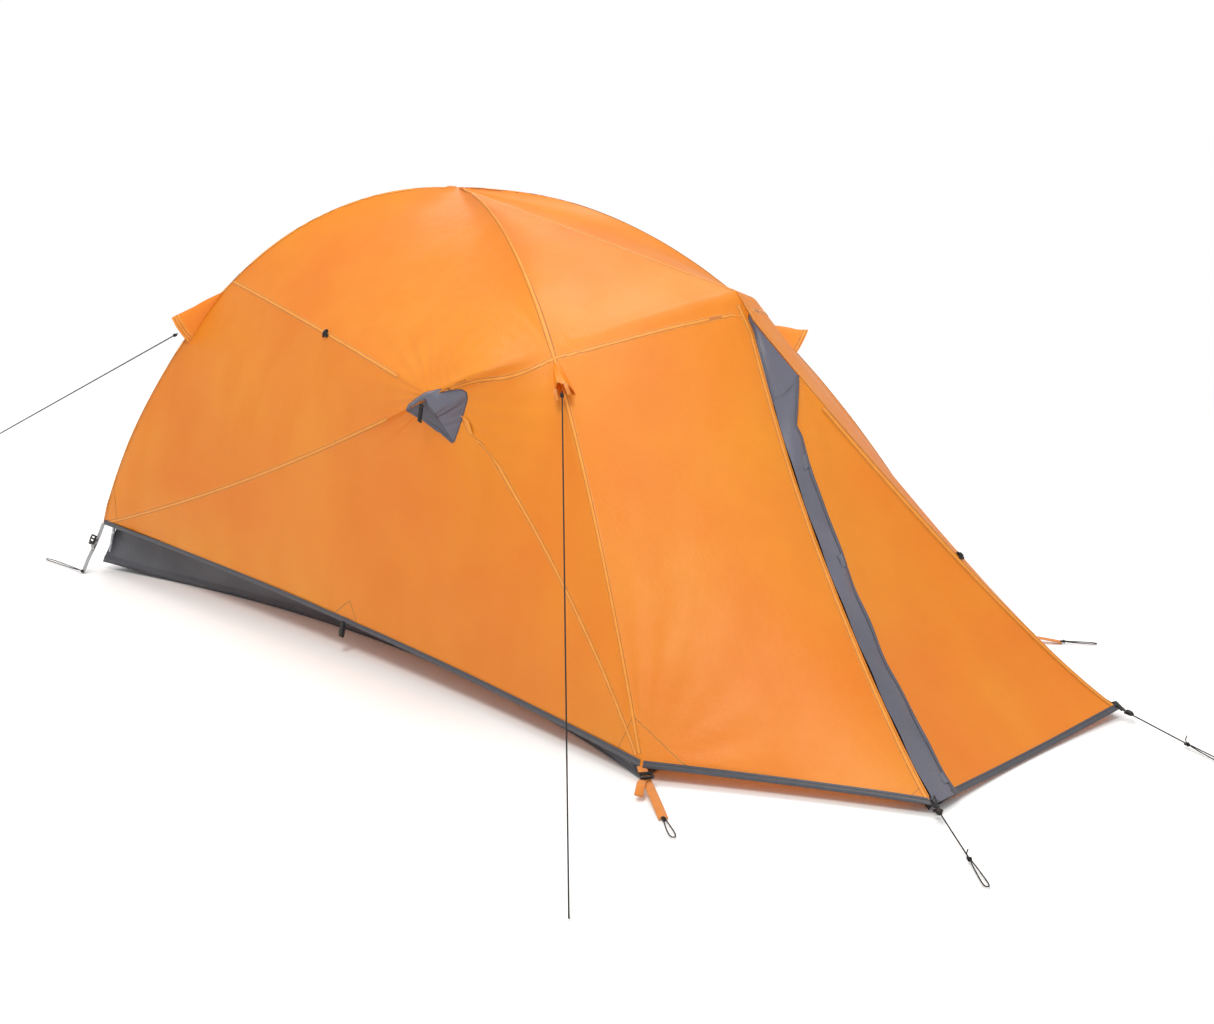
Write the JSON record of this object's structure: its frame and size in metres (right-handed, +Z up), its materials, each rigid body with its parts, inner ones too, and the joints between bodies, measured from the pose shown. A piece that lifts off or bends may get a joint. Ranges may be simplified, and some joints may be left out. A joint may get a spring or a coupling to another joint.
{
  "type": "dome tent",
  "caption": "Three-pole mountaineering dome tent with a fly, inner canopy, bathtub floor, pole-less front vestibule, zip door and guy lines.",
  "frame": {"origin": "middle of the sleeping floor, on the ground", "axes": "+X towards the vestibule, +Y towards the tent's left side, +Z up"},
  "size_m": [4.0692, 1.9153, 1.0901],
  "materials": {
    "fly_fabric": "thin coated ripstop nylon, satin sheen, lets some light through",
    "grey_fabric": "grey coated nylon with a soft sheen",
    "floor_fabric": "dark grey coated floor nylon, slightly glossy",
    "inner_fabric": "pale uncoated breathable ripstop, matte",
    "webbing_grey": "woven polyester webbing, light grey",
    "webbing_orange": "woven polyester webbing, orange",
    "webbing_black": "woven tape, black",
    "cord_black": "braided guy cord, black",
    "black_plastic": "moulded acetal, fine matte texture",
    "pole_aluminium": "anodised tube, satin"
  },
  "bodies": {
    "tent": {"apex_clip": "black_plastic", "brow_clip_left": "black_plastic", "brow_clip_right": "black_plastic", "brow_pole_left": "pole_aluminium", "brow_pole_right": "pole_aluminium", "floor_tub": "floor_fabric", "fly_lower_side_left": "fly_fabric", "fly_lower_side_right": "fly_fabric", "fly_rear": "fly_fabric", "fly_rear_side_left": "fly_fabric", "fly_rear_side_right": "fly_fabric", "fly_roof_front": "fly_fabric", "fly_roof_left": "fly_fabric", "fly_roof_right": "fly_fabric", "guy_hood_front_left": "fly_fabric", "guy_hood_front_right": "fly_fabric", "guy_hood_rear_left": "fly_fabric", "guy_hood_rear_right": "fly_fabric", "inner_wall_front": "inner_fabric", "inner_wall_left": "inner_fabric", "inner_wall_rear": "inner_fabric", "inner_wall_right": "inner_fabric", "pole_a_front": "pole_aluminium", "pole_a_middle": "pole_aluminium", "pole_a_rear": "pole_aluminium", "pole_b_front": "pole_aluminium", "pole_b_middle": "pole_aluminium", "pole_b_rear": "pole_aluminium", "pole_tip_a_front": "black_plastic", "pole_tip_a_rear": "black_plastic", "pole_tip_b_front": "black_plastic", "pole_tip_b_rear": "black_plastic", "strap_front_left": "webbing_orange", "strap_front_right": "webbing_orange", "strap_rear_left": "webbing_grey", "strap_rear_right": "webbing_grey", "vent_hood_left": "grey_fabric", "vent_hood_right": "grey_fabric", "vestibule_side_left": "fly_fabric", "vestibule_side_right": "fly_fabric", "zip_hood": "grey_fabric"},
    "door": {"vestibule_door": "fly_fabric"},
    "flap": {"storm_flap": "grey_fabric"},
    "slider": {"zip_slider": "black_plastic"},
    "pull": {"zip_pull": "black_plastic"},
    "inner_door": {"inner_door": "inner_fabric"},
    "strut_right": {"vent_strut_right": "black_plastic"},
    "strut_left": {"vent_strut_left": "black_plastic"},
    "guyline_front": {"guyline_front": "cord_black"},
    "guyline_rear": {"guyline_rear": "cord_black"},
    "cord_right": {"stake_cord_right": "cord_black"},
    "cord_left": {"stake_cord_left": "cord_black"},
    "cord_lock_right": {"cord_lock_right": "black_plastic"},
    "cord_lock_left": {"cord_lock_left": "black_plastic"},
    "loop_right": {"side_loop_right": "webbing_black"},
    "loop_left": {"side_loop_left": "webbing_black"},
    "ladder_lock_rear_right": {"ladder_lock_rear_right": "black_plastic"},
    "ladder_lock_front_right": {"ladder_lock_front_right": "black_plastic"},
    "ladder_lock_rear_left": {"ladder_lock_rear_left": "black_plastic"},
    "ladder_lock_front_left": {"ladder_lock_front_left": "black_plastic"}
  },
  "joints": [
    {"name": "vestibule_door_swing", "type": "hinge", "parent": "tent", "child": "door", "pos_m": [0.9209, 0.0461, 0.7244], "axis": [-0.6538, -0.3145, 0.6883], "range_deg": [0, 150]},
    {"name": "storm_flap_swing", "type": "hinge", "parent": "tent", "child": "flap", "pos_m": [1.27387, -0.21094, 0.33008], "axis": [0.6755, -0.3249, -0.6619], "range_deg": [0, 115]},
    {"name": "zip_slider_travel", "type": "slide", "parent": "tent", "child": "slider", "axis": [-0.7178, 0.3379, 0.6088], "range_m": [0, 0.488]},
    {"name": "zip_pull_swing", "type": "hinge", "parent": "slider", "child": "pull", "pos_m": [1.51856, -0.31967, 0.05217], "axis": [0.4216, 0.9067, -0.0062], "range_deg": [0, 50]},
    {"name": "inner_door_lift", "type": "hinge", "parent": "tent", "child": "inner_door", "pos_m": [0.2511, 0, 0.8453], "axis": [0, 1, 0], "range_deg": [0, 100]},
    {"name": "vent_strut_right_fold", "type": "hinge", "parent": "tent", "child": "strut_right", "pos_m": [0.336, -0.561, 0.6376], "axis": [1, 0, 0], "range_deg": [0, 60]},
    {"name": "vent_strut_left_fold", "type": "hinge", "parent": "tent", "child": "strut_left", "pos_m": [0.336, 0.561, 0.6376], "axis": [-1, 0, 0], "range_deg": [0, 60]},
    {"name": "guyline_front_swing", "type": "hinge", "parent": "tent", "child": "guyline_front", "pos_m": [0.6461, -0.4284, 0.7143], "axis": [0, 0, 1], "range_deg": [-25, 25]},
    {"name": "guyline_rear_swing", "type": "hinge", "parent": "tent", "child": "guyline_rear", "pos_m": [-0.8394, -0.415, 0.6841], "axis": [0, 0, 1], "range_deg": [-25, 25]},
    {"name": "stake_cord_right_swing", "type": "hinge", "parent": "tent", "child": "cord_right", "pos_m": [1.59, -0.368, 0.02], "axis": [0, 0, 1], "range_deg": [-30, 30]},
    {"name": "stake_cord_left_swing", "type": "hinge", "parent": "tent", "child": "cord_left", "pos_m": [1.59, 0.368, 0.02], "axis": [0, 0, 1], "range_deg": [-30, 30]},
    {"name": "cord_lock_right_travel", "type": "slide", "parent": "cord_right", "child": "cord_lock_right", "axis": [0.7713, -0.6342, -0.0542], "range_m": [0, 0.08]},
    {"name": "cord_lock_left_travel", "type": "slide", "parent": "cord_left", "child": "cord_lock_left", "axis": [0.9394, -0.338, -0.0575], "range_m": [0, 0.08]},
    {"name": "ladder_lock_rear_right_tilt", "type": "hinge", "parent": "tent", "child": "ladder_lock_rear_right", "pos_m": [-1.08042, -0.56287, 0.10053], "axis": [-0.9944, 0.1055, 0], "range_deg": [0, 35]},
    {"name": "ladder_lock_front_right_tilt", "type": "hinge", "parent": "tent", "child": "ladder_lock_front_right", "pos_m": [1.09233, -0.64747, 0.02547], "axis": [-0.5798, -0.8148, 0], "range_deg": [0, 35]},
    {"name": "ladder_lock_rear_left_tilt", "type": "hinge", "parent": "tent", "child": "ladder_lock_rear_left", "pos_m": [-1.08042, 0.56287, 0.10053], "axis": [0.9944, 0.1055, 0], "range_deg": [0, 35]},
    {"name": "ladder_lock_front_left_tilt", "type": "hinge", "parent": "tent", "child": "ladder_lock_front_left", "pos_m": [1.09233, 0.64747, 0.02547], "axis": [0.5798, -0.8148, 0], "range_deg": [0, 35]},
    {"name": "side_loop_right_swing", "type": "hinge", "parent": "tent", "child": "loop_right", "pos_m": [0.0078, -0.545, 0.0775], "axis": [1, 0, 0], "range_deg": [-60, 20]},
    {"name": "side_loop_left_swing", "type": "hinge", "parent": "tent", "child": "loop_left", "pos_m": [0.0078, 0.545, 0.0775], "axis": [1, 0, 0], "range_deg": [-20, 60]}
  ]
}
